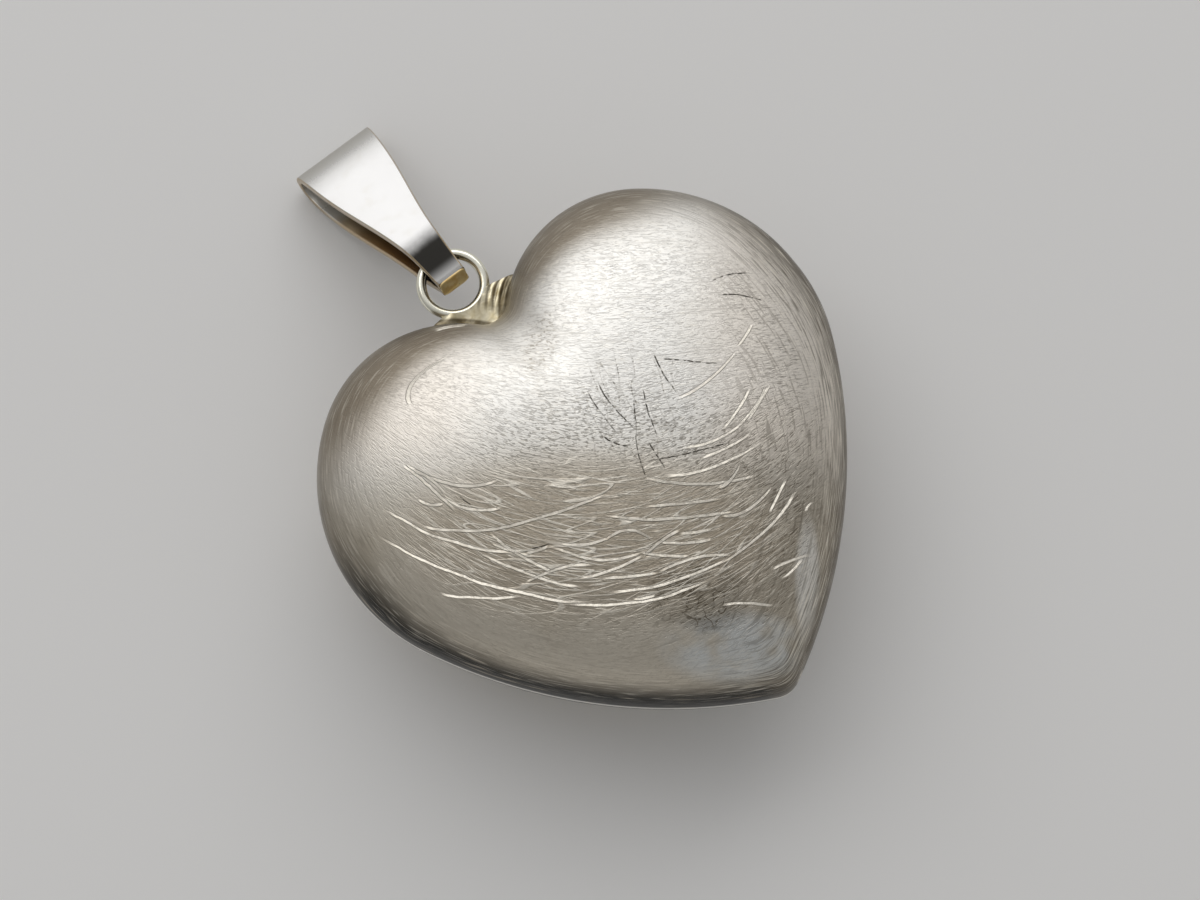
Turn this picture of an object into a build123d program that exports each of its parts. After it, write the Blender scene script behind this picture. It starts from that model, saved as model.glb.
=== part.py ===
from build123d import *

import os
from math import asin, atan2, cos, pi, radians, sin, sqrt, tan

# A hollow puffed-heart charm of silver sheet, lying on its back, with a soldered ring and a swinging bail.
# Millimetres, +Z up. The heart lies flat, its tip towards -Y and its cleft, ring and bail towards +Y.

# Heart outline, seen from the front
HEART_WIDTH = 32.0
HEART_HEIGHT = 30.1
LOBE_RADIUS = 11.3  # outer arc of each lobe
LOBE_TOP_RADIUS = 7.8  # tighter arc over the top of each lobe
LOBE_TURN = 55.0  # where the first runs into the second, in degrees above the widest line
SIDE_RADIUS = 31.5
TIP_RADIUS = 1.6
CLEFT_RADIUS = 1.5

# Heart dome, one half above the seam and an equal one below it
CROWN_HEIGHT = 7.0
CROWN_DROP = 2.9  # how far the crown of the dome lies from the widest line towards the tip
SHOULDER = 0.95  # fullness of the dome near its rim: 0.7 is about an ellipse, 1.1 is boxy
KNEE = 0.55  # how square the dome stands on its rim
SHEET = 0.4

# Solder line between the two halves
SEAM_GAP = 0.16
SEAM_RECESS = 0.06

# Ring of round wire soldered into the cleft, a little off the middle line
RING_WIRE = 0.62
RING_INSIDE = 3.05
RING_OFFSET = -0.5
RING_SEAT_GAP = 0.5
RING_SOLDER_SPREAD = 62.0
RING_SOLDER_THICKNESS = 0.72

# Bail: one tapered strip folded over, its narrow ends soldered together under the ring wire
BAIL_LENGTH = 14.4
BAIL_FOLD_WIDTH = 5.45
BAIL_END_WIDTH = 1.82
BAIL_STRIP = 0.45
BAIL_EYE_RADIUS = 0.95
BAIL_END_REACH = 2.0  # from the swing axis to the soldered end
BAIL_TAB = 0.4
BAIL_CURVE = 0.16  # how far each edge of the strip swings out towards the fold and in towards the end
BAIL_NECK_REACH = 0.7  # from the swing axis to where the two straps stop spreading
BAIL_NECK_BEND = 0.9
BAIL_SHOULDER_BEND = 4.0
BAIL_SOLDER_GAP = 0.14
BAIL_SOLDER_CAP = 0.12
BAIL_PLAY = 0.12

# Places of the dome sections across its width, in degrees from the middle line
SECTION_ANGLES = (0, 1.5, 3, 5, 8, 12, 18, 25, 33, 42, 51, 60, 68, 75, 81)
TAPER_STEPS = 12


def outline_centres():
    """Centres of the five arcs of the right half: outer lobe, lobe top, tip, side and the cleft fillet."""
    lobe = Vector(HEART_WIDTH / 2 - LOBE_RADIUS, 0)
    turn = Vector(cos(radians(LOBE_TURN)), sin(radians(LOBE_TURN)))
    top = lobe + turn * (LOBE_RADIUS - LOBE_TOP_RADIUS)
    tip = Vector(0, top.Y + LOBE_TOP_RADIUS - HEART_HEIGHT + TIP_RADIUS)
    cleft = Vector(0, top.Y + sqrt((LOBE_TOP_RADIUS + CLEFT_RADIUS) ** 2 - top.X**2))
    # the side arc touches both the outer lobe arc and the tip arc from outside
    to_lobe = SIDE_RADIUS - LOBE_RADIUS
    to_tip = SIDE_RADIUS - TIP_RADIUS
    span = (lobe - tip).length
    along = (to_tip**2 - to_lobe**2 + span**2) / (2 * span)
    across = sqrt(to_tip**2 - along**2)
    direction = (lobe - tip).normalized()
    side = tip + direction * along + Vector(-direction.Y, direction.X) * across
    return lobe, top, tip, side, cleft


LOBE, LOBE_TOP, TIP, SIDE, CLEFT = outline_centres()


def outline_joints(inset):
    """Where neighbouring arcs of the right half meet, with the outline drawn in by inset."""
    cleft_top = CLEFT + (LOBE_TOP - CLEFT).normalized() * (CLEFT_RADIUS + inset)
    top_lobe = LOBE_TOP + (LOBE_TOP - LOBE).normalized() * (LOBE_TOP_RADIUS - inset)
    lobe_side = LOBE + (LOBE - SIDE).normalized() * (LOBE_RADIUS - inset)
    side_tip = TIP + (TIP - SIDE).normalized() * (TIP_RADIUS - inset)
    return cleft_top, top_lobe, lobe_side, side_tip


def arc_rise(radius, centre, x):
    """Height of a circle above its centre line at x."""
    return sqrt(max(radius**2 - (x - centre.X) ** 2, 0))


def outline_ends(x, inset):
    """Lowest and highest y of the outline, drawn in by inset, at distance x from the middle line."""
    cleft_top, top_lobe, lobe_side, side_tip = outline_joints(inset)
    if x < cleft_top.X:
        high = CLEFT.Y - arc_rise(CLEFT_RADIUS + inset, CLEFT, x)
    elif x < top_lobe.X:
        high = LOBE_TOP.Y + arc_rise(LOBE_TOP_RADIUS - inset, LOBE_TOP, x)
    else:
        high = arc_rise(LOBE_RADIUS - inset, LOBE, x)
    if x < side_tip.X:
        low = TIP.Y - arc_rise(TIP_RADIUS - inset, TIP, x)
    elif x < lobe_side.X:
        low = SIDE.Y - arc_rise(SIDE_RADIUS - inset, SIDE, x)
    else:
        low = -arc_rise(LOBE_RADIUS - inset, LOBE, x)
    return low, high


def half_oval(x, crown_y, rim_y, height):
    """Half of a section, one smooth curve: from the bottom crown out round the rim to the top crown."""
    reach = rim_y - crown_y
    waist = (32 - 10 * SHOULDER) / 20  # puts the middle of the curve on the rim
    stations = ((0, -1), (SHOULDER, -1), (waist, -KNEE), (waist, KNEE), (SHOULDER, 1), (0, 1))
    return Bezier(*[(x, crown_y + reach * u, height * v) for u, v in stations]).edge()


def dome_section(angle, inset):
    """Cross-section of the whole heart at one distance from the middle line."""
    x = (HEART_WIDTH / 2 - inset) * sin(radians(angle))
    low, high = outline_ends(abs(x), inset)
    crown_y = -CROWN_DROP * cos(radians(angle)) ** 2
    height = (CROWN_HEIGHT - inset) * cos(radians(angle))
    return Wire([half_oval(x, crown_y, low, height), half_oval(x, crown_y, high, height)])


def heart_body(inset):
    """The puffed heart as one lofted solid, drawn in by inset all round."""
    reach = HEART_WIDTH / 2 - inset
    angles = [-a for a in reversed(SECTION_ANGLES) if a] + list(SECTION_ANGLES)
    sections = [dome_section(angle, inset) for angle in angles]
    return Solid.make_loft([Vertex(-reach, 0, 0), *sections, Vertex(reach, 0, 0)])


def arc_between(start, end, centre, radius, bulge):
    """Arc from start to end about a centre, its middle on the side that bulge points to."""
    middle = centre + ((start + end) * 0.5 - centre).normalized() * radius
    if (middle - centre).dot(bulge) < 0:
        middle = centre * 2 - middle
    return ThreePointArc(start, middle, end)


def heart_face(inset):
    """The flat heart outline, drawn in by inset."""
    cleft_top, top_lobe, lobe_side, side_tip = outline_joints(inset)
    bottom = Vector(0, TIP.Y - TIP_RADIUS + inset)
    notch = Vector(0, CLEFT.Y - CLEFT_RADIUS - inset)
    right, down, up = Vector(1, 0), Vector(0, -1), Vector(0, 1)
    half = Curve() + [
        arc_between(notch, cleft_top, CLEFT, CLEFT_RADIUS + inset, down),
        arc_between(cleft_top, top_lobe, LOBE_TOP, LOBE_TOP_RADIUS - inset, up),
        arc_between(top_lobe, lobe_side, LOBE, LOBE_RADIUS - inset, right),
        arc_between(lobe_side, side_tip, SIDE, SIDE_RADIUS - inset, right),
        arc_between(side_tip, bottom, TIP, TIP_RADIUS - inset, down),
    ]
    return make_face(half.edges() + mirror(half, about=Plane.YZ).edges())


# Ring place: the ring stands off the nearer lobe by the solder gap
RING_RADIUS = (RING_INSIDE + RING_WIRE) / 2
RING_OUTSIDE = RING_RADIUS + RING_WIRE / 2
RING_Y = LOBE_TOP.Y + sqrt(
    (LOBE_TOP_RADIUS + RING_OUTSIDE + RING_SEAT_GAP) ** 2 - (LOBE_TOP.X - abs(RING_OFFSET)) ** 2
)
RING = Vector(RING_OFFSET, RING_Y)

# Swing axis: middle of the room that the curved wire needs inside the bail's width
BAIL_SPREAD = (BAIL_FOLD_WIDTH - BAIL_END_WIDTH) / BAIL_LENGTH
WIDTH_AT_AXIS = BAIL_END_WIDTH + BAIL_SPREAD * BAIL_END_REACH
WIRE_LEAN = asin(WIDTH_AT_AXIS / 2 / RING_RADIUS)
WIRE_LOW = RING_RADIUS * (1 - cos(WIRE_LEAN)) + RING_WIRE / 2 / cos(WIRE_LEAN)
AXIS_DROP = (WIRE_LOW - RING_WIRE / 2) / 2
ROOM = (WIRE_LOW + RING_WIRE / 2) / 2 + BAIL_PLAY
SWING = Vector(RING.X, RING.Y + RING_RADIUS - AXIS_DROP)

# Bail at rest: drooped until its fold lies on the surface under the heart
FOLD_OUTSIDE = BAIL_EYE_RADIUS + BAIL_STRIP
FOLD_REACH = BAIL_LENGTH - BAIL_END_REACH - FOLD_OUTSIDE
DROOP = asin((CROWN_HEIGHT - FOLD_OUTSIDE) / FOLD_REACH)

# Place of the whole charm: middle of its footprint over the origin, its lowest point on the ground
FAR_END = SWING.Y + FOLD_REACH * cos(DROOP) + FOLD_OUTSIDE
NEAR_END = TIP.Y - TIP_RADIUS
PLACE = Location((0, -(FAR_END + NEAR_END) / 2, CROWN_HEIGHT))


def shells():
    """The two domed halves of sheet, parted by the solder line."""
    wall = heart_body(0) - heart_body(SHEET)
    front = split(wall, Plane.XY.offset(SEAM_GAP / 2), keep=Keep.TOP)
    back = split(wall, Plane.XY.offset(-SEAM_GAP / 2), keep=Keep.BOTTOM)
    return front.solid(), back.solid()


def seam_solder():
    """The band of solder between the rims of the two halves."""
    band = heart_face(SEAM_RECESS) - heart_face(SHEET)
    return extrude(band, SEAM_GAP / 2, both=True).solid()


def pendant_ring():
    """The closed ring of round wire."""
    return (Pos(RING.X, RING.Y) * Torus(RING_RADIUS, RING_WIRE / 2)).solid()


def ring_solder(ring):
    """The pool of solder that fills the cleft under the ring and climbs to the middle of its wire."""
    reach = RING.Y - (CLEFT.Y - CLEFT_RADIUS) + SHEET / 2
    spread = radians(RING_SOLDER_SPREAD)
    wedge = Polygon(
        (0, 0),
        (-2 * reach * sin(spread), -2 * reach * cos(spread)),
        (2 * reach * sin(spread), -2 * reach * cos(spread)),
        align=None,
    )
    pool = (Circle(reach) & wedge) - Circle(RING_RADIUS)
    block = extrude(Pos(RING.X, RING.Y) * pool, RING_SOLDER_THICKNESS / 2, both=True)
    return (block - ring - heart_body(0)).solids().sort_by(SortBy.VOLUME)[-1]


# Bail section, in a plane along the bail: s from the swing axis to the fold, n to the front
STRAP_SLOPE = atan2(ROOM - BAIL_SOLDER_GAP / 2, BAIL_END_REACH - BAIL_TAB)
NECK = Vector(BAIL_TAB - BAIL_END_REACH, BAIL_SOLDER_GAP / 2)
STRAP_BEND = Vector(BAIL_NECK_REACH, ROOM + BAIL_NECK_REACH * tan(STRAP_SLOPE))
TO_FOLD = Vector(FOLD_REACH, 0) - STRAP_BEND
STRAP_LEAN = atan2(TO_FOLD.Y, TO_FOLD.X) + asin(BAIL_EYE_RADIUS / TO_FOLD.length)


def bent_corner(corner, before, after, depth):
    """A corner between two slopes, moved out by depth from both of its lines."""
    middle = (before + after) / 2
    return corner + Vector(-sin(middle), cos(middle)) * (depth / cos((after - before) / 2))


def strap_line(depth):
    """Front strap from its end to the top of the fold, at a depth of 0 for its inner face."""
    end = Vector(-BAIL_END_REACH, BAIL_SOLDER_GAP / 2 + depth)
    neck = bent_corner(NECK, 0, STRAP_SLOPE, depth)
    bend = bent_corner(STRAP_BEND, STRAP_SLOPE, STRAP_LEAN, depth)
    radius = BAIL_EYE_RADIUS + depth
    fold = Vector(FOLD_REACH, 0)
    touch = fold + Vector(-sin(STRAP_LEAN), cos(STRAP_LEAN)) * radius
    straps = FilletPolyline(
        end, neck, bend, touch, radius=(BAIL_NECK_BEND + BAIL_STRIP - depth, BAIL_SHOULDER_BEND + depth)
    )
    return straps.edges() + [arc_between(touch, fold + Vector(radius, 0), fold, radius, Vector(1, 1)).edge()]


def bail_planes():
    """Planes of the bail at rest: one across its strap, to see its bends, and one along its strap."""
    along = Vector(0, cos(DROOP), -sin(DROOP))
    front = Vector(0, sin(DROOP), cos(DROOP))
    return Plane(SWING, x_dir=along, z_dir=(1, 0, 0)), Plane(SWING, x_dir=along, z_dir=front)


def bail_half_width(part):
    """Half the width of the strip at a part of its length, 0 at the soldered end and 1 at the fold."""
    straight = BAIL_END_WIDTH + (BAIL_FOLD_WIDTH - BAIL_END_WIDTH) * part
    return straight / 2 - BAIL_CURVE * sin(2 * pi * part)


def bail_taper():
    """Block with the curved taper of the strip, running on past the soldered end and the fold."""
    start, end = -BAIL_STRIP / BAIL_LENGTH, 1 + BAIL_STRIP / BAIL_LENGTH
    parts = [start + (end - start) * step / TAPER_STEPS for step in range(TAPER_STEPS + 1)]
    edge = [Vector(part * BAIL_LENGTH - BAIL_END_REACH, bail_half_width(part)) for part in parts]
    side = Spline(*edge)
    far_side = mirror(side, about=Plane.XZ)
    ends = [Line(point, Vector(point.X, -point.Y)) for point in (edge[0], edge[-1])]
    outline = make_face([*side.edges(), *far_side.edges(), *(end.edge() for end in ends)])
    return extrude(bail_planes()[1] * outline, 2 * FOLD_OUTSIDE, both=True)


def loop_face(depth):
    """All that the folded strip goes round, out to a depth of 0 for its inner face."""
    front = (Curve() + strap_line(depth)).edges()
    back = [mirror(edge, about=Plane.XZ) for edge in front]
    half_gap = BAIL_SOLDER_GAP / 2 + depth
    end = Line((-BAIL_END_REACH, half_gap), (-BAIL_END_REACH, -half_gap))
    return make_face([*front, *back, end.edge()])


def bail_strap():
    """The folded strip: its bends cut to the tapered outline."""
    band = loop_face(BAIL_STRIP) - loop_face(0)
    return (extrude(bail_planes()[0] * band, BAIL_FOLD_WIDTH, both=True) & bail_taper()).solid()


def bail_solder():
    """Solder between the two narrow ends, spread over their cut faces."""
    film = Pos(-BAIL_END_REACH + BAIL_TAB / 2, 0) * Rectangle(BAIL_TAB, BAIL_SOLDER_GAP)
    cap_height = BAIL_SOLDER_GAP + 2 * BAIL_STRIP
    cap = Pos(-BAIL_END_REACH - BAIL_SOLDER_CAP / 2, 0) * Rectangle(BAIL_SOLDER_CAP, cap_height)
    block = extrude(bail_planes()[0] * (film + cap), BAIL_FOLD_WIDTH, both=True)
    return (block & bail_taper()).solid()


def all_nodes():
    """Every piece of the charm by its name."""
    front, back = shells()
    ring = pendant_ring()
    return {
        "front_shell": front,
        "back_shell": back,
        "seam_solder": seam_solder(),
        "pendant_ring": ring,
        "ring_solder": ring_solder(ring),
        "bail_strap": bail_strap(),
        "bail_solder": bail_solder(),
    }


os.makedirs("parts", exist_ok=True)
for name, solid in all_nodes().items():
    export_step(PLACE * solid, f"parts/{name}.step")
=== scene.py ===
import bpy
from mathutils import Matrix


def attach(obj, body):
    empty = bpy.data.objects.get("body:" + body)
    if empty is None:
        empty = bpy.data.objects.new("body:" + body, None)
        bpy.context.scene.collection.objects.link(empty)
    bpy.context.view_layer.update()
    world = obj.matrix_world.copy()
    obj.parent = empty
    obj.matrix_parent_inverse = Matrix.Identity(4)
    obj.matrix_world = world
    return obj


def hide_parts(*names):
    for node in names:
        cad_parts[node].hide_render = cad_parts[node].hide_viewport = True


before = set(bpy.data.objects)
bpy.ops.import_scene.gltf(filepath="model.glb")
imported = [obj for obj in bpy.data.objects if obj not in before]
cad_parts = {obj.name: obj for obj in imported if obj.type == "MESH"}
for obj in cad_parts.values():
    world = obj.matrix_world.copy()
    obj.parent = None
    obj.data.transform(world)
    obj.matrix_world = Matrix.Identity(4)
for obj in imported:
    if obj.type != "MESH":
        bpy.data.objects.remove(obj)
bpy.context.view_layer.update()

from types import SimpleNamespace

import bmesh
import bpy
import numpy as np
from mathutils import Matrix

# Heart outline and dome, in millimetres, in the heart's own frame: the seam plane at z 0,
# the widest line at y 0, the cleft towards +Y and the front towards +Z
HEART_WIDTH = 32.0
HEART_HEIGHT = 30.1
LOBE_RADIUS = 11.3
LOBE_TOP_RADIUS = 7.8
LOBE_TURN = np.radians(55.0)
SIDE_RADIUS = 31.5
TIP_RADIUS = 1.6
CLEFT_RADIUS = 1.5
CROWN_HEIGHT = 7.0
CROWN_DROP = 2.9
SHOULDER = 0.95
KNEE = 0.55
SHEET = 0.4
SEAM_GAP = 0.16
RIM_ROUND = 0.07
HAMMER_DIP = 0.06

# Solder line between the halves
SEAM_HALF_DEPTH = 0.19
SEAM_INSET = 0.215
SEAM_ROUND = 0.07

# Ring and its solder
RING_WIRE = 0.62
RING_INSIDE = 3.05
RING_OFFSET = -0.5
RING_SEAT_GAP = 0.5
RING_THINNING = 0.02
RING_SOLDER_SPREAD = np.radians(62.0)
SOLDER_THICK = 0.33
SOLDER_SAG = 0.05
SOLDER_RIDGE = 0.42
SOLDER_RIDGE_HEIGHT = 0.06

# Bail
BAIL_LENGTH = 14.4
BAIL_FOLD_WIDTH = 5.45
BAIL_END_WIDTH = 1.82
BAIL_STRIP = 0.45
BAIL_EYE_RADIUS = 0.95
BAIL_END_REACH = 2.0
BAIL_TAB = 0.4
BAIL_CURVE = 0.16
BAIL_NECK_REACH = 0.7
BAIL_NECK_BEND = 0.9
BAIL_SHOULDER_BEND = 4.0
BAIL_SOLDER_GAP = 0.14
BAIL_SOLDER_CAP = 0.12
BAIL_SOLDER_OVERLAP = 0.1
BAIL_PLAY = 0.12
BAIL_EDGE_ROUND = 0.1

# The photograph's view in the heart's frame: the direction that is upright in the picture, turned from the
# heart's middle line, the length of the lens, its place, and the matrix of its turn
PICTURE_TURN = np.radians(37.96)
LENS = 85.0
LENS_PLACE = np.array([-23.608, -26.413, 159.589])
LENS_TURN = ((0.7868, 0.59976, -0.14571), (-0.61682, 0.77249, -0.15098), (0.02201, 0.20867, 0.97774))


def unit(vector):
    """A vector brought to length 1."""
    return vector / np.linalg.norm(vector)


def outline_centres():
    """Centres of the arcs of the right half: outer lobe, lobe top, tip, side and the cleft fillet.

    Each arc runs tangent into the next, so the centres follow from the radii, the width and the height.
    """
    lobe = np.array([HEART_WIDTH / 2 - LOBE_RADIUS, 0.0])
    top = lobe + (LOBE_RADIUS - LOBE_TOP_RADIUS) * np.array([np.cos(LOBE_TURN), np.sin(LOBE_TURN)])
    tip = np.array([0.0, top[1] + LOBE_TOP_RADIUS - HEART_HEIGHT + TIP_RADIUS])
    cleft = np.array([0.0, top[1] + np.sqrt((LOBE_TOP_RADIUS + CLEFT_RADIUS) ** 2 - top[0] ** 2)])
    to_lobe = SIDE_RADIUS - LOBE_RADIUS
    to_tip = SIDE_RADIUS - TIP_RADIUS
    span = np.linalg.norm(lobe - tip)
    along = (to_tip**2 - to_lobe**2 + span**2) / (2 * span)
    direction = unit(lobe - tip)
    across = np.array([-direction[1], direction[0]])
    side = tip + direction * along + across * np.sqrt(to_tip**2 - along**2)
    return lobe, top, tip, side, cleft


LOBE, LOBE_TOP, TIP, SIDE, CLEFT = outline_centres()
CLEFT_TOP = unit(LOBE_TOP - CLEFT)
TOP_LOBE = unit(LOBE_TOP - LOBE)
LOBE_SIDE = unit(LOBE - SIDE)
SIDE_TIP = unit(TIP - SIDE)

# Ring, swing axis and droop of the bail, worked out as for the solids
RING_RADIUS = (RING_INSIDE + RING_WIRE) / 2
RING_REACH = LOBE_TOP_RADIUS + RING_RADIUS + RING_WIRE / 2 + RING_SEAT_GAP
RING_Y = LOBE_TOP[1] + np.sqrt(RING_REACH**2 - (LOBE_TOP[0] - abs(RING_OFFSET)) ** 2)
RING = np.array([RING_OFFSET, RING_Y, 0.0])
AXIS_WIDTH = BAIL_END_WIDTH + (BAIL_FOLD_WIDTH - BAIL_END_WIDTH) / BAIL_LENGTH * BAIL_END_REACH
WIRE_LEAN = np.arcsin(AXIS_WIDTH / 2 / RING_RADIUS)
WIRE_LOW = RING_RADIUS * (1 - np.cos(WIRE_LEAN)) + RING_WIRE / 2 / np.cos(WIRE_LEAN)
ROOM = (WIRE_LOW + RING_WIRE / 2) / 2 + BAIL_PLAY
SWING = RING + np.array([0.0, RING_RADIUS - (WIRE_LOW - RING_WIRE / 2) / 2, 0.0])
FOLD_OUTSIDE = BAIL_EYE_RADIUS + BAIL_STRIP
FOLD_REACH = BAIL_LENGTH - BAIL_END_REACH - FOLD_OUTSIDE
DROOP = np.arcsin((CROWN_HEIGHT - FOLD_OUTSIDE) / FOLD_REACH)
FAR_END = SWING[1] + FOLD_REACH * np.cos(DROOP) + FOLD_OUTSIDE
NEAR_END = TIP[1] - TIP_RADIUS
PLACE = np.array([0.0, -(FAR_END + NEAR_END) / 2, CROWN_HEIGHT])
ALONG_BAIL = np.array([0.0, np.cos(DROOP), -np.sin(DROOP)])
FRONT_OF_BAIL = np.array([0.0, np.sin(DROOP), np.cos(DROOP)])


def grid_faces(rows, columns, ring=False):
    """Quads of a grid of points kept row by row, closed round its columns, and round its rows for a ring."""
    row = np.arange(rows if ring else rows - 1)[:, None]
    column = np.arange(columns)[None, :]
    next_row = (row + 1) % rows
    next_column = (column + 1) % columns
    corners = [
        row * columns + column,
        row * columns + next_column,
        next_row * columns + next_column,
        next_row * columns + column,
    ]
    return np.stack(np.broadcast_arrays(*corners), axis=-1).reshape(-1, 4)


def make_piece(name, points, ring, body, node, finish):
    """Puts a grid of millimetre points into a closed, outward-facing mesh that stands for one node."""
    merge_distance = 1e-7
    sharp_from = np.radians(50)
    rows, columns = points.shape[:2]
    places = ((points.reshape(-1, 3) + PLACE) / 1000).tolist()
    mesh = bpy.data.meshes.new(name)
    mesh.from_pydata(places, [], grid_faces(rows, columns, ring).tolist())
    closed = bmesh.new()
    closed.from_mesh(mesh)
    bmesh.ops.remove_doubles(closed, verts=closed.verts, dist=merge_distance)
    bmesh.ops.dissolve_degenerate(closed, edges=closed.edges, dist=merge_distance / 10)
    bmesh.ops.recalc_face_normals(closed, faces=closed.faces)
    closed.to_mesh(mesh)
    closed.free()
    mesh.shade_smooth()
    mesh.set_sharp_from_angle(angle=sharp_from)
    mesh.materials.append(finish)
    piece = bpy.data.objects.new(name, mesh)
    bpy.context.scene.collection.objects.link(piece)
    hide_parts(node)
    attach(piece, body)
    return piece


def circle_rise(radius, centre_x, x):
    """Height of a circle above its centre line at x."""
    return np.sqrt(np.maximum(radius**2 - (x - centre_x) ** 2, 0))


def outline_ends(x, inset):
    """Lowest and highest y of the outline, drawn in by inset, at distance x from the middle line.

    Each is the height of whichever arc covers x, its radius smaller by the inset, or larger in the cleft.
    """
    cleft_x = CLEFT[0] + CLEFT_TOP[0] * (CLEFT_RADIUS + inset)
    top_x = LOBE_TOP[0] + TOP_LOBE[0] * (LOBE_TOP_RADIUS - inset)
    lobe_x = LOBE[0] + LOBE_SIDE[0] * (LOBE_RADIUS - inset)
    tip_x = TIP[0] + SIDE_TIP[0] * (TIP_RADIUS - inset)
    lobe = circle_rise(LOBE_RADIUS - inset, LOBE[0], x)
    cleft = CLEFT[1] - circle_rise(CLEFT_RADIUS + inset, CLEFT[0], x)
    top = LOBE_TOP[1] + circle_rise(LOBE_TOP_RADIUS - inset, LOBE_TOP[0], x)
    tip = TIP[1] - circle_rise(TIP_RADIUS - inset, TIP[0], x)
    side = SIDE[1] - circle_rise(SIDE_RADIUS - inset, SIDE[0], x)
    high = np.where(x < cleft_x, cleft, np.where(x < top_x, top, lobe))
    low = np.where(x < tip_x, tip, np.where(x < lobe_x, side, -lobe))
    return low, high


def dome(angle, turn, inset):
    """Points of the puffed front, drawn in by inset.

    x is half the width times the sine of the angle. At each x a section runs from the rim on the tip side,
    at turn 0, over the crown at turn 1, to the rim on the cleft side, at turn 2. Each half of it is the outer
    half of a quintic Bezier curve: its reach from crown line to rim times one sum, its height times another.
    """
    x = (HEART_WIDTH / 2 - inset) * np.sin(angle)
    low, high = outline_ends(np.abs(x), inset)
    crown = -CROWN_DROP * np.cos(angle) ** 2
    t = 0.5 + 0.5 * np.where(turn < 1, turn, 2 - turn)
    waist = (32 - 10 * SHOULDER) / 20
    reach = 5 * SHOULDER * t * (1 - t) * ((1 - t) ** 3 + t**3) + 10 * waist * t**2 * (1 - t) ** 2
    height = t**5 - (1 - t) ** 5 + 5 * t * (1 - t) * (t**3 - (1 - t) ** 3)
    height = height + 10 * KNEE * t**2 * (1 - t) ** 2 * (2 * t - 1)
    y = crown + (np.where(turn < 1, low, high) - crown) * reach
    z = (CROWN_HEIGHT - inset) * np.cos(angle) * height
    return np.broadcast_arrays(x, y, z)


def hand_wave(x, y, phase):
    """How far, from 0 to 1, the hammered sheet dips at a place: three crossed waves of about 7 to 9 mm."""
    waves = [(0.62, 0.35, 1.0), (-0.31, 0.71, 2.1), (0.83, -0.42, 3.7)]
    total = sum(np.sin(along_x * x + along_y * y + shift * phase) for along_x, along_y, shift in waves)
    return 0.5 + total / (2 * len(waves))


def shell(name, side, finish):
    """One domed half of the heart, a closed wall of sheet.

    A grid over the angle across the heart, its rows closer together near the cleft, and once round the wall:
    up the rounded edge of its rim, over the outer face, down the other edge and back along the inner face.
    The rim stands half the seam gap away from the seam plane, and the outer face dips a little as hammered
    sheet does.
    """
    rows, corner_steps, half_steps, inner_steps = 221, 6, 76, 57
    even, crowded = 0.72, 0.28
    spread = np.linspace(-1, 1, rows)
    angle = (np.pi / 2 * (even * spread + crowded * spread**3))[:, None]
    corner = np.linspace(0, np.pi / 2, corner_steps)[None, :]
    half = np.linspace(0, 1, half_steps)
    outer = np.concatenate([half, 2 - half[-2::-1]])[None, :]
    inner = np.linspace(2, 0, inner_steps)[None, :]

    edge_inset = RIM_ROUND * (1 - np.sin(corner))
    edge_lift = SEAM_GAP / 2 + RIM_ROUND * (1 - np.cos(corner))
    near_x, near_y, _ = dome(angle, 0 * corner, edge_inset)
    far_x, far_y, _ = dome(angle, 2 + 0 * corner, edge_inset)
    out_x, out_y, out_z = dome(angle, outer, 0.0)
    in_x, in_y, in_z = dome(angle, inner, SHEET)

    lift = SEAM_GAP / 2 + RIM_ROUND
    full_dip_height = 2
    dip = HAMMER_DIP * hand_wave(out_x, out_y, 0.9 * side) * np.minimum(out_z / full_dip_height, 1) ** 2
    out_z = lift + out_z * (1 - lift / CROWN_HEIGHT) - dip
    in_z = SEAM_GAP / 2 + in_z * (1 - SEAM_GAP / 2 / CROWN_HEIGHT)
    edge_z = np.broadcast_to(edge_lift, near_x.shape)

    x = np.concatenate([near_x, out_x, far_x[:, ::-1], in_x], axis=1)
    y = np.concatenate([near_y, out_y, far_y[:, ::-1], in_y], axis=1)
    z = np.concatenate([edge_z, out_z, edge_z[:, ::-1], in_z], axis=1)
    points = np.stack([x, y, side * z], axis=-1)
    return make_piece(name + "_dome", points, False, "heart", name, finish)


def arc_points(centre, radius, start, end, count, hollow=False):
    """Points of an arc between two directions, and the directions out of the heart there."""
    first, last = np.arctan2(start[1], start[0]), np.arctan2(end[1], end[0])
    angle = np.linspace(first, last, count, endpoint=False)
    out = np.stack([np.cos(angle), np.sin(angle)], axis=-1)
    return centre + radius * out, -out if hollow else out


def outline_path():
    """Points and outward directions once round the flat outline: the right half's arcs, then their mirror."""
    down = np.array([0.0, -1.0])
    arcs = [
        arc_points(CLEFT, CLEFT_RADIUS, down, CLEFT_TOP, 24, hollow=True),
        arc_points(LOBE_TOP, LOBE_TOP_RADIUS, -CLEFT_TOP, TOP_LOBE, 60),
        arc_points(LOBE, LOBE_RADIUS, TOP_LOBE, LOBE_SIDE, 80),
        arc_points(SIDE, SIDE_RADIUS, LOBE_SIDE, SIDE_TIP, 80),
        arc_points(TIP, TIP_RADIUS, SIDE_TIP, down, 16),
    ]
    points = np.concatenate([arc[0] for arc in arcs])
    out = np.concatenate([arc[1] for arc in arcs])
    flip = np.array([-1.0, 1.0])
    tip_point = TIP + TIP_RADIUS * down
    points = np.concatenate([points, tip_point[None, :], (points * flip)[:0:-1]])
    out = np.concatenate([out, down[None, :], (out * flip)[:0:-1]])
    return points, out


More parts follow.
